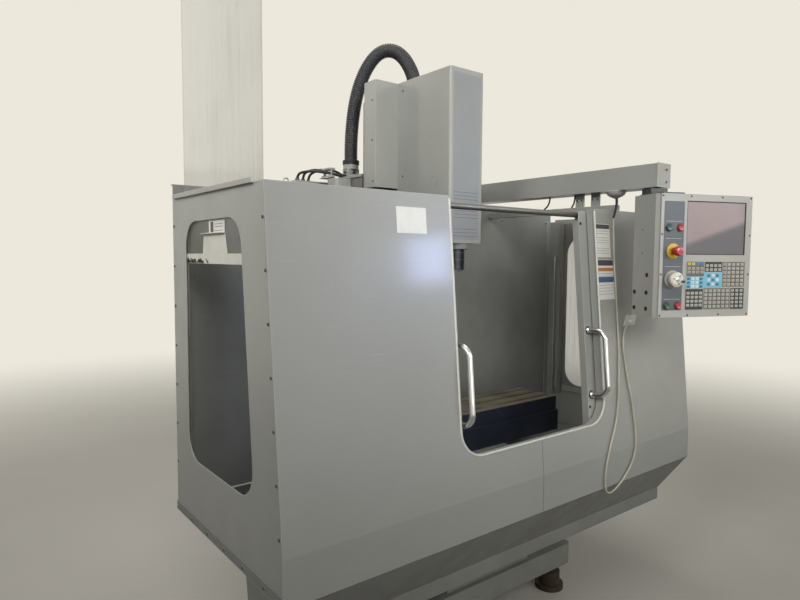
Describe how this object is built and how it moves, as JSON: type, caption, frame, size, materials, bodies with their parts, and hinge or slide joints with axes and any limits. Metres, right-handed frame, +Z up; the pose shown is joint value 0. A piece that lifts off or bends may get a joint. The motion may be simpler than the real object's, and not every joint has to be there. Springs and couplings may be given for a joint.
{
  "type": "cnc machining center",
  "caption": "Vertical machining center in an open-topped grey sheet enclosure with sliding doors, side windows, T-slot table, tall head and a control pendant on an arm.",
  "frame": {"origin": "on the floor, in the middle of the four levelling feet", "axes": "+X to the operator's right, +Y from the operator into the machine, +Z up"},
  "size_m": [2.114, 1.8226, 2.4527],
  "materials": {
    "painted_sheet": "satin",
    "cast_iron": "satin paint",
    "foot_steel": "worn",
    "table_iron": "ground",
    "bare_steel": "turned",
    "chrome": "polished",
    "clear_sheet": "clear",
    "cream_plastic": "satin",
    "dark_paint": "satin",
    "black_rubber": "matte",
    "pale_hose": "satin",
    "screen": "glossy",
    "keypad": "satin film",
    "red_plastic": "glossy",
    "green_plastic": "glossy"
  },
  "bodies": {
    "machine": {"base_casting": "cast_iron", "levelling_feet": "foot_steel", "column": "cast_iron", "column_cap": "painted_sheet", "z_motor": "dark_paint", "control_cabinet": "painted_sheet", "chip_pan": "painted_sheet", "front_apron": "painted_sheet", "front_beam": "painted_sheet", "left_front_panel": "painted_sheet", "right_front_panel": "painted_sheet", "left_side_panel": "painted_sheet", "right_side_panel": "painted_sheet", "back_panels": "painted_sheet", "left_window_guides": "bare_steel", "right_window_guides": "bare_steel", "door_rail": "bare_steel", "door_track": "painted_sheet", "enclosure_bolts": "bare_steel", "pendant_arm": "painted_sheet", "arm_support": "painted_sheet", "hose_swivel": "dark_paint", "hose_guard": "black_rubber", "air_hose": "pale_hose", "hose_hook": "cream_plastic", "loose_cables": "black_rubber", "head_conduit": "black_rubber"},
    "left_door": {"left_door": "painted_sheet", "left_door_pane": "clear_sheet", "left_door_handle": "chrome"},
    "right_door": {"right_door": "painted_sheet", "right_door_pane": "clear_sheet", "right_door_handle": "chrome"},
    "left_window": {"left_window": "clear_sheet", "left_window_pull": "cream_plastic"},
    "right_window": {"right_window": "clear_sheet", "right_window_pull": "cream_plastic"},
    "saddle": {"saddle": "cast_iron"},
    "table": {"table": "table_iron"},
    "x_screw": {"x_screw": "bare_steel"},
    "y_screw": {"y_screw": "bare_steel"},
    "z_screw": {"z_screw": "bare_steel"},
    "head": {"head_casting": "cast_iron", "head_cover": "painted_sheet", "head_rear_cover": "painted_sheet", "spindle_motor": "dark_paint"},
    "spindle": {"spindle": "bare_steel"},
    "cabinet_door": {"cabinet_door": "painted_sheet"},
    "pendant": {"pendant_neck": "dark_paint", "pendant_case": "painted_sheet", "pendant_face": "painted_sheet", "pendant_screen": "screen", "pendant_keypad": "keypad", "pendant_trim": "black_rubber"},
    "estop": {"estop_button": "red_plastic"},
    "power_on": {"power_on_button": "green_plastic"},
    "power_off": {"power_off_button": "red_plastic"},
    "cycle_start": {"cycle_start_button": "green_plastic"},
    "feed_hold": {"feed_hold_button": "red_plastic"},
    "jog_wheel": {"jog_wheel": "cream_plastic"}
  },
  "joints": [
    {"name": "left_door_slide", "type": "slide", "parent": "machine", "child": "left_door", "axis": [1, 0, 0], "range_m": [0, 0.349]},
    {"name": "right_door_slide", "type": "slide", "parent": "machine", "child": "right_door", "axis": [-1, 0, 0], "range_m": [0, 0.349]},
    {"name": "left_window_slide", "type": "slide", "parent": "machine", "child": "left_window", "axis": [0, 0, 1], "range_m": [-0.71, 0]},
    {"name": "right_window_slide", "type": "slide", "parent": "machine", "child": "right_window", "axis": [0, 0, 1], "range_m": [0, 0.71]},
    {"name": "y_axis", "type": "slide", "parent": "machine", "child": "saddle", "axis": [0, 1, 0], "range_m": [-0.205, 0.1]},
    {"name": "x_axis", "type": "slide", "parent": "saddle", "child": "table", "axis": [1, 0, 0], "range_m": [-0.406, 0.356]},
    {"name": "z_axis", "type": "slide", "parent": "machine", "child": "head", "axis": [0, 0, 1], "range_m": [-0.406, 0]},
    {"name": "x_screw_turn", "type": "hinge", "parent": "table", "child": "x_screw", "pos_m": [0.025, -0.245, 0.692], "axis": [1, 0, 0], "continuous": true},
    {"name": "y_screw_turn", "type": "hinge", "parent": "machine", "child": "y_screw", "pos_m": [0, -0.23, 0.495], "axis": [0, 1, 0], "continuous": true},
    {"name": "z_screw_turn", "type": "hinge", "parent": "machine", "child": "z_screw", "pos_m": [0, 0.13, 1.2], "axis": [0, 0, 1], "continuous": true},
    {"name": "spindle_turn", "type": "hinge", "parent": "head", "child": "spindle", "pos_m": [0, -0.312, 1.5], "axis": [0, 0, -1], "continuous": true},
    {"name": "cabinet_door_hinge", "type": "hinge", "parent": "machine", "child": "cabinet_door", "pos_m": [0.409, 0.629, 1.2], "axis": [0, 0, -1], "range_deg": [0, 110]},
    {"name": "pendant_swivel", "type": "hinge", "parent": "machine", "child": "pendant", "pos_m": [0.562, -0.858, 1.74], "axis": [0, 0, 1], "range_deg": [-50, 25]},
    {"name": "estop_press", "type": "slide", "parent": "pendant", "child": "estop", "axis": [0.3746, 0.9272, 0], "range_m": [0, 0.005], "stiffness_N_per_m": 500},
    {"name": "power_on_press", "type": "slide", "parent": "pendant", "child": "power_on", "axis": [0.3746, 0.9272, 0], "range_m": [0, 0.004], "stiffness_N_per_m": 500},
    {"name": "power_off_press", "type": "slide", "parent": "pendant", "child": "power_off", "axis": [0.3746, 0.9272, 0], "range_m": [0, 0.004], "stiffness_N_per_m": 500},
    {"name": "cycle_start_press", "type": "slide", "parent": "pendant", "child": "cycle_start", "axis": [0.3746, 0.9272, 0], "range_m": [0, 0.004], "stiffness_N_per_m": 500},
    {"name": "feed_hold_press", "type": "slide", "parent": "pendant", "child": "feed_hold", "axis": [0.3746, 0.9272, 0], "range_m": [0, 0.004], "stiffness_N_per_m": 500},
    {"name": "jog_turn", "type": "hinge", "parent": "pendant", "child": "jog_wheel", "pos_m": [0.44143, -1.03362, 1.403], "axis": [0.3746, 0.9272, 0], "continuous": true}
  ],
  "couplings": [
    {"joint": "x_screw_turn", "follows": "x_axis", "rad_per_m": 628.32},
    {"joint": "y_screw_turn", "follows": "y_axis", "rad_per_m": 628.32},
    {"joint": "z_screw_turn", "follows": "z_axis", "rad_per_m": 628.32}
  ]
}
